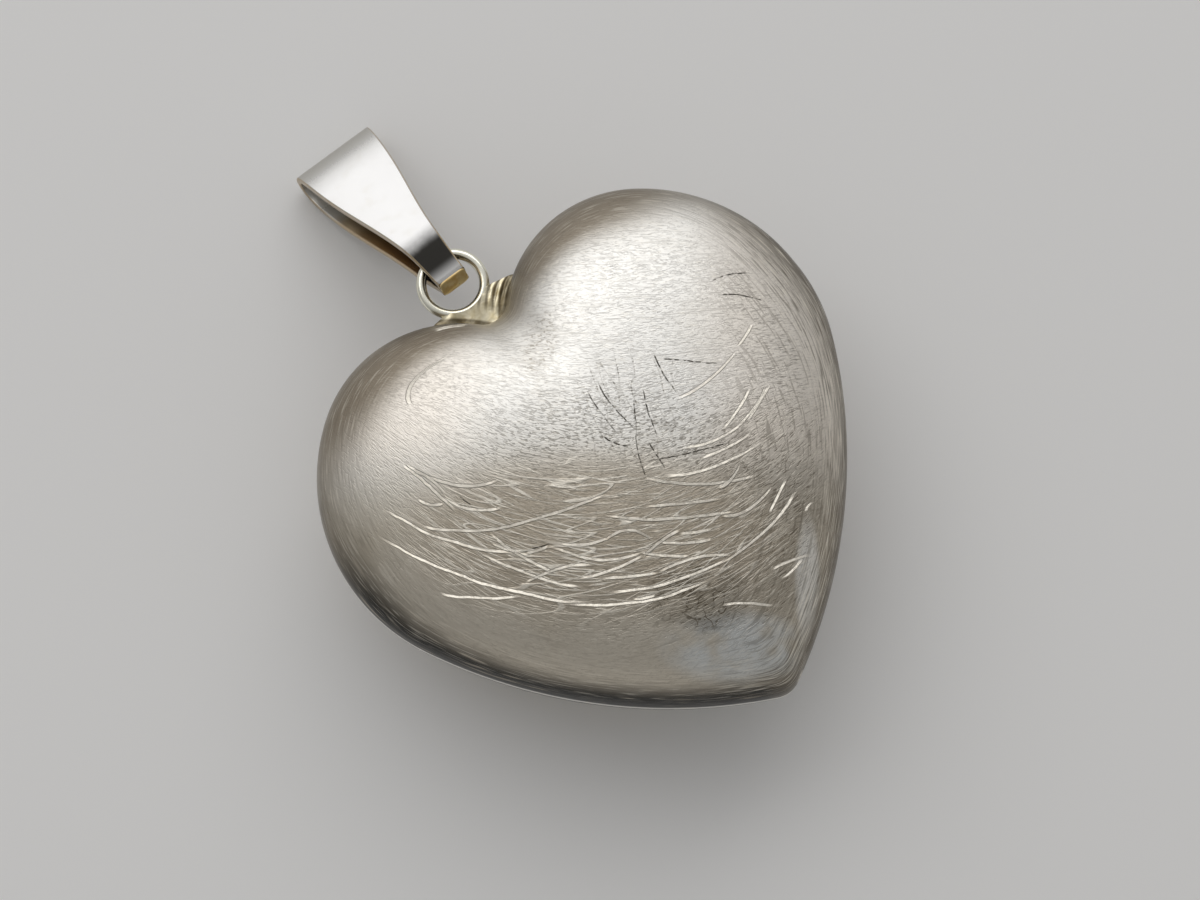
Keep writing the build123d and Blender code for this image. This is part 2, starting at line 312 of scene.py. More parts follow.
def rounded_section(half_width, half_height, corner, steps=5):
    """Points round a rectangle with rounded corners: quarter circles set at its four corners."""
    turn = np.linspace(0, np.pi / 2, steps)
    turns = np.concatenate([turn + quarter * np.pi / 2 for quarter in range(4)])
    towards_corner = np.repeat(np.arange(4) * np.pi / 2 + np.pi / 4, steps)
    side = np.sign(np.cos(towards_corner))
    level = np.sign(np.sin(towards_corner))
    across = side * (half_width - corner) + corner * np.cos(turns)
    up = level * (half_height - corner) + corner * np.sin(turns)
    return across, up


def seam_bead(finish):
    """The solder line between the halves: a rounded section carried round the heart's outline."""
    path, out = outline_path()
    across, up = rounded_section(SEAM_HALF_DEPTH, SEAM_GAP / 2, SEAM_ROUND)
    flat = path[:, None, :] + out[:, None, :] * (across - SEAM_INSET)[None, :, None]
    level = np.broadcast_to(up[None, :, None], flat.shape[:2] + (1,))
    points = np.concatenate([flat, level], axis=-1)
    return make_piece("seam_bead", points, True, "heart", "seam_solder", finish)


def wire_ring(finish):
    """The ring of round wire: a circle carried round a circle, the wire a little thinner in three places."""
    turns, rolls = 120, 36
    turn = np.linspace(0, 2 * np.pi, turns + 1)[:-1, None]
    roll = np.linspace(0, 2 * np.pi, rolls + 1)[None, :-1]
    wire = RING_WIRE / 2 * (1 - RING_THINNING * (1 + np.sin(3 * turn + 1.0)))
    reach = RING_RADIUS + wire * np.cos(roll)
    x = RING[0] + reach * np.cos(turn)
    y = RING[1] + reach * np.sin(turn)
    points = np.stack(np.broadcast_arrays(x, y, wire * np.sin(roll)), axis=-1)
    return make_piece("wire_ring", points, True, "heart", "pendant_ring", finish)


def cleft_solder(finish):
    """The pool of solder under the ring.

    Rows fan out from the middle of the ring over the cleft, and each row runs from the wire to just inside
    the heart's rim, which is found by stepping along it. The pool is thick at the wire, thin in the middle
    and thick again where it climbs the rim. Towards both ends of the fan its rows start ever closer to the
    heart and thin to an edge. Small lumps lie all over it, and low ridges along the right-hand lobe.
    """
    rows, columns, probes = 97, 41, 600
    farthest = 5.0
    full_fan = 0.6
    fan = np.linspace(-1, 1, rows)[:, None]
    angle = fan * RING_SOLDER_SPREAD
    probe = np.linspace(RING_RADIUS, farthest, probes)[None, :]
    probe_x = RING[0] + probe * np.sin(angle)
    probe_y = RING[1] - probe * np.cos(angle)
    inside = probe_y < outline_ends(np.abs(probe_x), 0.0)[1]
    heart = probe[0, np.argmax(inside, axis=1)][:, None] + SHEET / 2
    part = np.linspace(0, 1, columns)[None, :]
    fillet = np.clip((np.abs(fan) - full_fan) / (1 - full_fan), 0, 1) ** 2
    start = RING_RADIUS + (heart - SHEET - RING_RADIUS) * fillet
    reach = start + (heart - start) * part
    middle = np.sin(np.pi * part)
    sag = SOLDER_THICK - SOLDER_SAG * middle
    lump = 0.02 * np.sin(9.0 * angle + 5 * part) + 0.015 * np.sin(17.0 * angle)
    x = RING[0] + reach * np.sin(angle)
    y = RING[1] - reach * np.cos(angle)
    away = np.hypot(x - LOBE_TOP[0], y - LOBE_TOP[1]) - LOBE_TOP_RADIUS
    right_hand = np.clip(fan * 2.5 - 0.6, 0, 1)
    ridge = SOLDER_RIDGE_HEIGHT * np.sin(2 * np.pi * away / SOLDER_RIDGE) * right_hand
    thin_ends = np.sqrt(np.maximum(1 - fan**6, 0))
    thick = (sag + ridge * middle + lump) * thin_ends
    top = np.stack([x, y, thick], axis=-1)
    bottom = np.stack([x, y, -0.9 * thick], axis=-1)[:, ::-1]
    points = np.concatenate([top, bottom], axis=1)
    return make_piece("cleft_solder", points, False, "heart", "ring_solder", finish)


def bent_corner(before, corner, after, radius, count=24):
    """Points of the arc that rounds the corner between two straight runs, one tangent point to the other."""
    back, forward = unit(before - corner), unit(after - corner)
    half = np.arccos(np.dot(back, forward)) / 2
    middle = corner + unit(back + forward) * radius / np.sin(half)
    first, last = corner + back * radius / np.tan(half), corner + forward * radius / np.tan(half)
    start = np.arctan2(*(first - middle)[::-1])
    sweep = np.arctan2(*(last - middle)[::-1]) - start
    angle = start + (sweep - 2 * np.pi * np.round(sweep / 2 / np.pi)) * np.linspace(0, 1, count)
    return middle + radius * np.stack([np.cos(angle), np.sin(angle)], axis=-1)


def tightening_fold(touch, lean, far, tighten=3.0, count=60):
    """Half of the fold: it leaves a line of the given lean through touch and ends square to s, at n 0, s far.

    Its direction turns from the lean to straight down with a power of the length run, so that it bends slowly
    at first; the sums of its cosines and sines give its shape, and its size follows from where it has to end.
    """
    part = np.linspace(0, 1, count)
    turn = lean - (lean + np.pi / 2) * ((part[1:] + part[:-1]) / 2) ** tighten
    steps = np.stack([np.cos(turn), np.sin(turn)], axis=-1) / (count - 1)
    shape = np.concatenate([np.zeros((1, 2)), np.cumsum(steps, axis=0)])
    climb = np.tan(lean)
    size = (touch[1] + climb * (far - touch[0])) / (climb * shape[-1, 0] - shape[-1, 1])
    return np.array([far, 0.0]) + size * (shape - shape[-1])


def strap_path():
    """Middle line of the folded strip, seen from the side: s from the swing axis to the fold, n to the front.

    The front strap leaves the soldered end flat, bends out past the ring wire, runs straight towards the fold
    and bends round it more and more tightly; the back strap is its mirror image.
    """
    middle = BAIL_STRIP / 2
    slope = np.arctan2(ROOM - BAIL_SOLDER_GAP / 2, BAIL_END_REACH - BAIL_TAB)
    inner_neck = np.array([BAIL_TAB - BAIL_END_REACH, BAIL_SOLDER_GAP / 2])
    inner_bend = np.array([BAIL_NECK_REACH, ROOM + BAIL_NECK_REACH * np.tan(slope)])
    to_fold = np.array([FOLD_REACH, 0.0]) - inner_bend
    lean = np.arctan2(to_fold[1], to_fold[0]) + np.arcsin(BAIL_EYE_RADIUS / np.linalg.norm(to_fold))
    end = np.array([-BAIL_END_REACH, BAIL_SOLDER_GAP / 2 + middle])
    neck = inner_neck + middle * np.array([-np.tan(slope / 2), 1.0])
    tilt = (slope + lean) / 2
    bend = inner_bend + middle / np.cos((lean - slope) / 2) * np.array([-np.sin(tilt), np.cos(tilt)])
    radius = BAIL_EYE_RADIUS + middle
    touch = np.array([FOLD_REACH, 0.0]) + radius * np.array([-np.sin(lean), np.cos(lean)])
    round_fold = tightening_fold(touch, lean, FOLD_REACH + radius)
    neck_arc = bent_corner(end, neck, bend, BAIL_NECK_BEND + middle)
    bend_arc = bent_corner(neck, bend, round_fold[0], BAIL_SHOULDER_BEND + middle)
    straight_steps = 40
    straight = np.linspace(bend_arc[-1], round_fold[0], straight_steps + 2)[1:-1]
    front = np.concatenate([end[None, :], neck_arc, bend_arc, straight, round_fold])
    return np.concatenate([front, front[-2::-1] * np.array([1.0, -1.0])])


def bail_half_width(s):
    """Half the strip's width at s: a straight taper less a sine wave, which makes its sides swing."""
    part = (s + BAIL_END_REACH) / BAIL_LENGTH
    straight = BAIL_END_WIDTH + (BAIL_FOLD_WIDTH - BAIL_END_WIDTH) * part
    return straight / 2 - BAIL_CURVE * np.sin(2 * np.pi * part)


def on_bail(x, s, n):
    """Points from a bail's own width, length and front directions to the heart's frame."""
    across = np.array([1.0, 0.0, 0.0])
    return SWING + x[..., None] * across + s[..., None] * ALONG_BAIL + n[..., None] * FRONT_OF_BAIL


def folded_strap(finish):
    """The bail: a rounded strip section carried along its bent line, as wide as the taper, ends closed."""
    path = strap_path()
    along = np.gradient(path, axis=0)
    along = along / np.linalg.norm(along, axis=1, keepdims=True)
    out = np.stack([-along[:, 1], along[:, 0]], axis=-1)
    width = bail_half_width(path[:, 0])[:, None]
    # A section of half width 1, whose rounded sides are then moved out to the strip's own half width
    flat, up = rounded_section(1.0, BAIL_STRIP / 2, BAIL_EDGE_ROUND, steps=6)
    corner = np.sign(flat) * (1.0 - np.abs(flat))
    x = np.sign(flat)[None, :] * width - corner[None, :]
    s = path[:, :1] + out[:, :1] * up[None, :]
    n = path[:, 1:] + out[:, 1:] * up[None, :]
    x = np.concatenate([0 * x[:1], x, 0 * x[-1:]])
    s = np.concatenate([0 * s[:1] + path[0, 0], s, 0 * s[-1:] + path[-1, 0]])
    n = np.concatenate([0 * n[:1] + path[0, 1], n, 0 * n[-1:] + path[-1, 1]])
    points = on_bail(x, s, n)
    return make_piece("folded_strap", points, False, "bail", "bail_strap", finish)


def end_solder(finish):
    """The cap of solder over the two cut ends.

    A box with bulging sides: each half-axis times a signed power of the sines and cosines of a sphere.
    """
    rows, columns = 33, 64
    power = 0.35
    inset = 0.02
    up = np.linspace(-np.pi / 2, np.pi / 2, rows)[:, None]
    turn = np.linspace(0, 2 * np.pi, columns + 1)[None, :-1]

    def bulge(wave):
        return np.sign(wave) * np.abs(wave) ** power

    half_height = BAIL_STRIP + BAIL_SOLDER_GAP / 2
    half_depth = (BAIL_SOLDER_CAP + BAIL_SOLDER_OVERLAP) / 2
    x = (BAIL_END_WIDTH / 2 - inset) * bulge(np.cos(up)) * bulge(np.cos(turn))
    n = half_height * bulge(np.cos(up)) * bulge(np.sin(turn))
    s = half_depth * bulge(np.sin(up)) - BAIL_END_REACH - BAIL_SOLDER_CAP + half_depth
    points = on_bail(*np.broadcast_arrays(x, s, n))
    return make_piece("end_solder", points, False, "bail", "bail_solder", finish)


def floats(values):
    """Plain numbers for a node's socket."""
    return tuple(float(value) for value in values)


class Field:
    """One socket of a material's nodes. Arithmetic on it adds Math nodes, and add() adds any other node."""

    def __init__(self, tree, socket=None):
        self.tree = tree
        self.socket = socket

    def add(self, kind, inputs, settings=None, output=0):
        """A new node: first its settings, then the values or links of its sockets. Gives one output."""
        node = self.tree.nodes.new(kind)
        for name, value in (settings or {}).items():
            setattr(node, name, value)
        for key, value in inputs.items():
            if isinstance(value, Field):
                self.tree.links.new(value.socket, node.inputs[key])
            else:
                node.inputs[key].default_value = value
        return Field(self.tree, node.outputs[output] if node.outputs else None)

    def math(self, operation, *values):
        return self.add("ShaderNodeMath", dict(enumerate(values)), {"operation": operation})

    def vector(self, operation, *values, output=0):
        return self.add("ShaderNodeVectorMath", dict(enumerate(values)), {"operation": operation}, output)

    def __add__(self, other):
        return self.math("ADD", self, other)

    __radd__ = __add__

    def __sub__(self, other):
        return self.math("SUBTRACT", self, other)

    def __rsub__(self, other):
        return self.math("SUBTRACT", other, self)

    def __mul__(self, other):
        return self.math("MULTIPLY", self, other)

    __rmul__ = __mul__

    def __abs__(self):
        return self.math("ABSOLUTE", self)

    def either(self, other):
        """The larger of two fields."""
        return self.math("MAXIMUM", self, other)

    def rise(self, low, high):
        """Smooth step from 0 at low to 1 at high. It needs no clamp, and the shader stays small without."""
        inputs = {"Value": self, "From Min": low, "From Max": high}
        return self.add("ShaderNodeMapRange", inputs, {"interpolation_type": "SMOOTHSTEP", "clamp": False})

    def blend(self, first, second):
        """The first colour where this field is 0, the second where it is 1."""
        return self.add("ShaderNodeMix", {0: self, 6: first, 7: second}, {"data_type": "RGBA"}, 2)

    def dot(self, direction):
        """How far this vector field reaches along a direction."""
        return self.vector("DOT_PRODUCT", self, floats(direction), output=1)

    def distance(self, point):
        """How far this vector field lies from a point."""
        return self.vector("DISTANCE", self, floats(point), output=1)

    def noise(self, scale, detail=2.0, shift=0.0):
        """Cloudy noise on this vector field."""
        moved = self.vector("ADD", self, (shift, 0.7 * shift, -0.4 * shift))
        inputs = {"Vector": moved, "Scale": scale, "Detail": detail, "Roughness": 0.55}
        return self.add("ShaderNodeTexNoise", inputs)


def new_finish(name):
    """An empty material, a Field of its nodes, and the place on the charm in the heart's millimetres."""
    material = bpy.data.materials.new(name)
    material.use_nodes = True
    material.node_tree.nodes.clear()
    nodes = Field(material.node_tree)
    coords = nodes.add("ShaderNodeTexCoord", {}, output="Object")
    millimetres = (1000.0, 1000.0, 1000.0)
    place = nodes.vector("MULTIPLY_ADD", coords, millimetres, floats(-PLACE))
    return material, nodes, place


def surface(nodes, colour, roughness, relief, depth, metal=1.0):
    """Metal of a colour and roughness, with a relief of a depth in metres. Less metal scatters light."""
    bump = nodes.add("ShaderNodeBump", {"Height": relief, "Distance": depth, "Strength": 1.0})
    inputs = {"Base Color": colour, "Roughness": roughness, "Metallic": metal, "Normal": bump}
    shader = nodes.add("ShaderNodeBsdfPrincipled", inputs)
    nodes.add("ShaderNodeOutputMaterial", {"Surface": shader})


def strokes(right, across, height, spacing, shift, detail=1.0):
    """Noise drawn out into brush strokes: read at (right, across, height), each divided by its spacing."""
    spot = right.add("ShaderNodeCombineXYZ", {0: right, 1: across, 2: height})
    closer = tuple(1.0 / space for space in spacing)
    spot = spot.vector("MULTIPLY_ADD", spot, closer, (shift, 0.6 * shift, -0.3 * shift))
    return spot.add("ShaderNodeTexNoise", {"Vector": spot, "Scale": 1.0, "Detail": detail, "Roughness": 0.5})


def hairlines(right, across, height, spacing, shift, width=0.03):
    """Long fine lines: the places where noise drawn out by the spacing passes its middle level."""
    return abs(strokes(right, across, height, spacing, shift, 0.0) - 0.5).rise(width, 0.3 * width)


# Kinds of brush stroke: the spacing of their noise to the right, across and in height, in millimetres, and a
# shift that sets the kinds apart
BOWED = ((0.55, 0.085, 0.5), 3.0)
RISING = ((0.6, 0.09, 0.5), 17.0)
FALLING = ((0.5, 0.09, 0.5), 31.0)
ALONG_FLANK = ((1.6, 1.6, 0.075), 47.0)
SPECKS = ((0.26, 0.12, 0.3), 7.0)
RUBBED = ((2.2, 2.2, 0.07), 37.0)
LONG_BOWED = ((3.0, 0.14, 2.0), 5.0)
FIBRES = ((2.8, 0.11, 2.0), 61.0)
CROSSING_FIBRES = ((2.4, 0.12, 2.0), 83.0)
HAIRS = ((4.5, 0.8, 3.0), 97.0)
STEEP_HAIRS = ((3.0, 0.9, 3.0), 71.0)
CRACKS = ((0.7, 0.7, 0.7), 53.0)
RIM_STREAKS = ((2.5, 2.5, 0.3), 91.0)

# Oval patches of the front: the middle and the reach of each, in millimetres to the right and up
WORKED = ((3.0, -5.5), (12.5, 8.0))
ARCS = ((0.5, -7.5), (13.0, 5.5))
NET = ((3.0, -0.8), (4.5, 5.0))
SHADED_SIDE = ((11.0, -6.0), (6.5, 8.0))
VALLEY = ((-2.3, 3.2), (1.3, 3.2))
TIP_BLOOM = ((8.8, -13.4), (5.0, 2.2))
EDGE_GLEAM = ((12.7, -9.6), (0.9, 4.0))
STAIN = ((6.4, -10.8), (3.4, 2.4))

# Colours of the brushed silver, and of the painted light and shade on it
LIT_SILVER = (0.96, 0.94, 0.89, 1.0)
WARM = (0.96, 0.875, 0.77, 1.0)
WORN_AND_GLINT = (0.99, 0.93, 0.81, 1.0)
BLOOM = (0.78, 0.80, 0.79, 1.0)
SHADE_AND_TARNISH = (0.66, 0.595, 0.485, 1.0)
UMBER = (0.45, 0.385, 0.295, 1.0)
SHADE_BROWN = (0.40, 0.35, 0.28, 1.0)
UPPER_LEFT_SHADE = (0.28, 0.23, 0.165, 1.0)
RIM_SHADE = (0.17, 0.145, 0.11, 1.0)
GRIME_AND_SHADE = (0.14, 0.115, 0.08, 1.0)
SCORED = (0.05, 0.045, 0.035, 1.0)
LOW_RIM_SHADE = (0.025, 0.025, 0.023, 1.0)

# Half widths of the scratches in millimetres, how steep the floor of a bright one is, and the depth of the
# brush's relief in metres
BRIGHT_WIDTH = 0.11
DARK_WIDTH = 0.05
FLOOR_STEEPNESS = 45.0
BRUSH_DEPTH = 2e-5

# Long bright scratches and dark ones, as seen from the front: three places each, in millimetres to the right
# of and above the middle of the widest line in the picture
BRIGHT_SCRATCHES = [
    ((-11.6, -6.9), (-5.5, -9.9), (1.1, -11.1)),
    ((-1.1, -11.0), (3.3, -11.1), (7.4, -9.7)),
    ((-11.0, -5.6), (-7.7, -7.4), (-3.4, -8.3)),
    ((-8.9, -6.6), (-6.1, -7.1), (-3.2, -6.7)),
    ((-5.0, -7.1), (-1.9, -6.4), (1.5, -5.2)),
    ((-5.6, -8.2), (-2.7, -9.6), (0.3, -10.3)),
    ((-5.1, -7.1), (-3.6, -8.3), (-1.0, -9.6)),
    ((-4.9, -7.7), (-4.1, -8.1), (-3.2, -8.3)),
    ((-3.0, -8.4), (-2.5, -8.3), (-1.7, -8.0)),
    ((-1.7, -8.0), (0.8, -8.8), (3.5, -8.4)),
    ((-3.2, -10.1), (-1.6, -9.4), (0.8, -9.1)),
    ((-0.2, -9.8), (2.2, -9.2), (3.6, -8.5)),
    ((3.4, -8.7), (4.3, -7.9), (5.5, -7.2)),
    ((-8.0, -10.3), (-5.5, -10.7), (-3.2, -10.7)),
    ((-9.9, -3.2), (-8.3, -4.6), (-6.8, -6.0)),
    ((-9.4, -3.6), (-8.4, -4.1), (-7.4, -5.1)),
    ((-9.8, -3.1), (-8.3, -4.1), (-4.4, -4.3)),
    ((-9.0, -5.2), (-8.3, -5.5), (-7.5, -5.5)),
    ((-7.7, -5.1), (-6.1, -5.9), (-4.3, -5.9)),
    ((-1.2, -7.9), (0.7, -7.9), (1.6, -7.6)),
    ((1.3, -7.8), (2.2, -7.3), (4.1, -7.8)),
    ((4.1, -7.8), (6.0, -7.9), (7.4, -7.6)),
    ((5.4, -7.4), (6.5, -7.3), (7.3, -7.1)),
    ((3.2, -8.4), (4.6, -8.6), (6.1, -8.6)),
    ((1.1, -9.8), (3.2, -9.7), (4.4, -9.5)),
    ((4.1, -9.6), (5.7, -8.9), (8.4, -8.5)),
    ((1.3, -10.6), (5.4, -9.9), (8.5, -8.5)),
    ((7.6, -9.1), (10.2, -7.1), (12.0, -4.6)),
    ((2.8, -11.0), (3.5, -10.9), (4.2, -10.7)),
    ((1.1, -6.4), (6.0, -6.5), (8.8, -6.0)),
    ((7.7, -6.3), (9.6, -5.7), (10.7, -4.5)),
    ((3.5, -5.9), (6.0, -5.7), (7.8, -5.4)),
    ((5.5, -2.6), (7.7, -2.0), (9.2, -0.9)),
    ((8.8, -1.2), (9.8, 0.0), (10.4, 1.2)),
    ((6.5, -3.2), (8.0, -2.6), (9.6, -1.5)),
    ((4.4, -4.2), (7.7, -3.5), (10.2, -2.0)),
    ((7.8, -1.6), (8.7, -0.4), (9.5, 1.1)),
    ((9.3, -0.9), (10.0, 0.2), (10.6, 1.3)),
    ((5.3, 0.2), (7.1, 1.3), (8.8, 3.2)),
    ((8.8, 3.4), (9.3, 4.1), (9.7, 4.9)),
    ((10.4, -6.2), (10.9, -5.2), (11.5, -4.0)),
    ((10.5, -9.2), (11.3, -8.8), (12.9, -8.1)),
    ((11.1, -9.7), (11.8, -9.1), (12.3, -8.4)),
    ((7.7, -11.2), (9.0, -11.1), (10.8, -11.1)),
    ((7.6, -4.7), (8.4, -4.2), (8.8, -3.5)),
    ((3.3, -4.3), (6.6, -4.6), (9.9, -4.0)),
    ((12.6, -5.8), (12.7, -5.5), (13.0, -5.2)),
    ((-9.4, -0.1), (-9.0, 1.9), (-7.2, 3.1)),
    ((-8.4, 5.0), (-7.4, 5.3), (-6.2, 5.4)),
    ((-8.3, 4.85), (-7.4, 5.15), (-6.4, 5.25)),
    ((12.3, -15.0), (12.5, -14.5), (12.7, -14.1)),
]
DARK_SCRATCHES = [
    ((0.4, 0.7), (1.2, -0.7), (2.0, -1.9)),
    ((1.0, 1.3), (1.7, -0.1), (3.1, -1.8)),
    ((3.0, -1.7), (3.2, -3.1), (3.7, -4.7)),
    ((3.5, 0.9), (3.8, -0.6), (4.3, -2.1)),
    ((3.7, -2.2), (4.2, -3.1), (4.7, -3.9)),
    ((4.0, 3.0), (4.5, 1.9), (5.4, 0.4)),
    ((3.0, 0.3), (3.0, -0.8), (3.1, -2.2)),
    ((1.1, -1.8), (1.7, -2.3), (2.7, -2.6)),
    ((4.2, 2.5), (6.1, 2.4), (7.9, 2.3)),
    ((3.3, -3.5), (6.0, -2.9), (8.8, -2.1)),
    ((-3.3, -8.4), (-2.4, -8.1), (-1.6, -7.9)),
    ((0.6, -9.7), (1.3, -9.5), (2.1, -9.3)),
    ((-6.7, -5.2), (-6.4, -5.4), (-6.0, -5.7)),
    ((-7.9, 5.7), (-6.3, 5.6), (-4.5, 6.1)),
    ((7.3, 7.3), (8.3, 7.8), (9.8, 8.1)),
    ((7.7, 6.5), (9.2, 6.6), (10.6, 6.3)),
]


def patch(at, oval):
    """1 in the middle of an oval patch of the front, falling to 0 at its edge."""
    middle, reach = oval
    aside = (at.right - middle[0]) * (1.0 / reach[0])
    above = (at.up - middle[1]) * (1.0 / reach[1])
    return (aside * aside + above * above).rise(1.0, 0.2)


def brushed_places(place):
    """Where each spot of the heart lies, in space and in the picture: to the right, up and in height.

    With it goes what several marks follow: the line that the brush swept, bowed more below than above, the
    crown, all that is off the rim, the rubbed right side, the band of arcs in the lower half, and two clouds.
    """
    cosine, sine = np.cos(PICTURE_TURN), np.sin(PICTURE_TURN)
    at = SimpleNamespace(place=place)
    at.right = place.dot((cosine, -sine, 0.0))
    at.up = place.dot((sine, cosine, 0.0))
    at.height = abs(place.dot((0.0, 0.0, 1.0)))
    aside = at.right - 1.0
    at.sweep = at.up - aside * aside * (0.01 + 0.029 * at.up.rise(5.0, -1.0))
    at.crown = at.height.rise(3.4, 5.2)
    at.off_rim = at.height.rise(0.5, 2.2)
    at.rubbed_side = at.right.rise(7.0, 12.0)
    at.arcs = patch(at, ARCS) * at.crown
    at.clouds = place.noise(0.16, detail=3.0, shift=4.0)
    at.patchy = place.noise(0.5, detail=2.0, shift=12.0)
    return at


def brush_marks(at):
    """Dark dashes, glints and specks of the wire brush: bowed strokes on the crown, others along the rim."""
    bowed = strokes(at.right, at.sweep, at.height, *BOWED)
    rising = strokes(at.right, at.sweep - 0.3 * at.right, at.height, *RISING)
    falling = strokes(at.right, at.sweep + 0.35 * at.right, at.height, *FALLING)
    flank = strokes(at.right, at.up, at.height, *ALONG_FLANK)
    specks = strokes(at.right, at.sweep, at.height, *SPECKS).rise(0.54, 0.66)
    flank_dashes = flank.rise(0.52, 0.7)
    flank_glints = flank.rise(0.46, 0.28)
    dashes = bowed.rise(0.56, 0.72).either(rising.rise(0.6, 0.75)).either(falling.rise(0.6, 0.75))
    glints = bowed.rise(0.42, 0.28).either(rising.rise(0.38, 0.25))
    dashes = at.crown.math("MULTIPLY_ADD", dashes - flank_dashes, at.crown, flank_dashes)
    glints = at.crown.math("MULTIPLY_ADD", glints - flank_glints, at.crown, flank_glints)
    return dashes, glints, specks


def dark_marks(at, dashes, specks):
    """How dark the marks are, from 0 to 1: most in the worked middle, on the rubbed side and in a net."""
    worked = patch(at, WORKED)
    dark = dashes * (0.08 + 0.35 * at.patchy + 0.35 * worked + 0.5 * at.rubbed_side)
    dark = dark.either(specks * (0.3 * at.patchy + 0.55 * worked)) * at.off_rim * (1.0 - 0.6 * at.arcs)
    rubbed = strokes(at.right, at.up, at.height, *RUBBED).rise(0.54, 0.66)
    rubbed = rubbed * at.right.rise(5.0, 11.0) * at.off_rim
    long_bowed = strokes(at.right, at.sweep, at.height, *LONG_BOWED).rise(0.56, 0.72) * at.crown
    dark = dark.either(rubbed * 0.5).either(long_bowed * 0.25)
    steep_hairs = hairlines(at.up, at.right + 0.4 * at.up, at.height, *STEEP_HAIRS)
    return dark.either(steep_hairs * patch(at, NET) * (0.3 + 0.6 * specks))


def bright_arcs(at):
    """How bright the fine arcs of the lower half are, from 0 to 1: fibres and hairs, worn in patches."""
    fibres = strokes(at.right, at.sweep - 0.06 * at.right, at.height, *FIBRES).rise(0.57, 0.66)
    crossing = strokes(at.right, at.sweep + 0.16 * at.right, at.height, *CROSSING_FIBRES).rise(0.59, 0.68)
    hairs = hairlines(at.right, at.sweep - 0.2 * at.right, at.height, *HAIRS)
    fine = (fibres.either(crossing) * 0.9).either(hairs * 0.9)
    return fine * at.arcs * (0.3 + 0.7 * at.patchy.rise(0.3, 0.6))


def runs_steeply(start, end):
    """Whether a scratch runs more upwards than sideways."""
    return abs(end[1] - start[1]) > abs(end[0] - start[0])


def scratch(right, up, start, middle, end, width):
    """One fine arc: the parabola through three places, fading out towards its first and last.

    Gives where it is, from 0 to 1, and how far to the side of its middle line, in millimetres.
    """
    steep = runs_steeply(start, end)
    run, climb = (1, 0) if steep else (0, 1)
    along, across = (up, right) if steep else (right, up)
    places = np.array([start, middle, end])
    square, slope, level = floats(np.polyfit(places[:, run], places[:, climb], 2))
    line = along.math("MULTIPLY_ADD", along, square, slope)
    line = along.math("MULTIPLY_ADD", line, along, level)
    offset = across - line
    lean = 2 * square * middle[run] + slope
    wide = width * float(np.hypot(1, lean))
    centre = (start[run] + end[run]) / 2
    half = abs(end[run] - start[run]) / 2
    near = abs(offset).rise(wide, 0.4 * wide) * abs(along - centre).rise(half, 0.6 * half)
    return near, offset


def window_lean(start, middle, end):
    """How the floor of a bright scratch rises across it, so that it mirrors the window.

    It rises upwards on the upper rim, to the right where a scratch on the right runs steeply, and otherwise
    the other way; on the crown and at the bottom half as much as in the lower half and on the upper rim.
    """
    upper_rim = middle[1] > 4.5
    lower_half = -11.4 < middle[1] < -4.0
    amount = 1.0 if lower_half or upper_rim else 0.5
    steep_on_right = runs_steeply(start, end) and middle[0] > 0
    return amount if upper_rim or steep_on_right else -amount


def hand_scratches(at):
    """The listed scratches, all swaying a little: how bright, how dark, and how their floors rise."""
    wide_sway = at.place.noise(0.4, detail=1.0, shift=21.0) - 0.5
    fine_sway = at.place.noise(2.2, detail=0.0, shift=25.0) - 0.5
    sway = 0.25 * wide_sway + 0.05 * fine_sway
    right = at.right + sway
    up = at.up + sway
    # All three start as fields that are 0 everywhere
    bright = dark = floor = 0.0 * sway
    for places in BRIGHT_SCRATCHES:
        near, offset = scratch(right, up, *places, BRIGHT_WIDTH)
        bright = bright.either(near)
        floor = floor + near * offset * window_lean(*places)
    for places in DARK_SCRATCHES:
        near, _ = scratch(right, up, *places, DARK_WIDTH)
        dark = dark.either(near)
    worn = at.place.noise(2.2, detail=2.0, shift=29.0).rise(0.38, 0.55)
    broken = at.place.noise(3.5, detail=1.0, shift=33.0).rise(0.38, 0.55)
    bright = bright * (0.6 + 0.4 * worn) * at.height.rise(0.4, 0.8)
    return bright, dark * (0.2 + 0.7 * broken), floor


def shaded_and_tinted_face(at, specks):
    """The colour of the metal under its marks: lit silver above, painted shade with a tarnished tint below,
    and tinted patches.
    """
    # Painted shade: the face darkens and warms towards the bottom
    colour = (at.up.rise(0.0, -7.5) * 0.85 + at.clouds.rise(0.45, 0.75) * 0.15).blend(LIT_SILVER, SHADE_AND_TARNISH)
    # Painted shade darkens the lower right side
    colour = (patch(at, SHADED_SIDE) * 0.6).blend(colour, SHADE_BROWN)
    upper_sides = at.right.rise(5.0, 10.0).either(at.right.rise(-4.0, -9.0)) * at.up.rise(-5.0, -1.0)
    colour = (upper_sides * 0.6).blend(colour, WARM)
    colour = (at.arcs * 0.75).blend(colour, UMBER)
    # Painted shade with brown specks along the valley by the cleft
    valley = patch(at, VALLEY) * at.patchy.rise(0.25, 0.6)
    colour = (valley * (0.15 + 0.5 * specks)).blend(colour, SHADE_BROWN)
    tip_bloom = patch(at, TIP_BLOOM) * at.patchy.rise(0.25, 0.6)
    colour = (tip_bloom * 0.9).blend(colour, BLOOM)
    # A painted reflection: a pale gleam along the right edge
    colour = (patch(at, EDGE_GLEAM) * 0.8).blend(colour, LIT_SILVER)
    stain = patch(at, STAIN) * at.patchy.rise(0.3, 0.55)
    cracks = hairlines(at.right, at.up, at.height, *CRACKS, width=0.05)
    return (stain * (0.5 + 0.4 * specks).either(cracks)).blend(colour, GRIME_AND_SHADE)


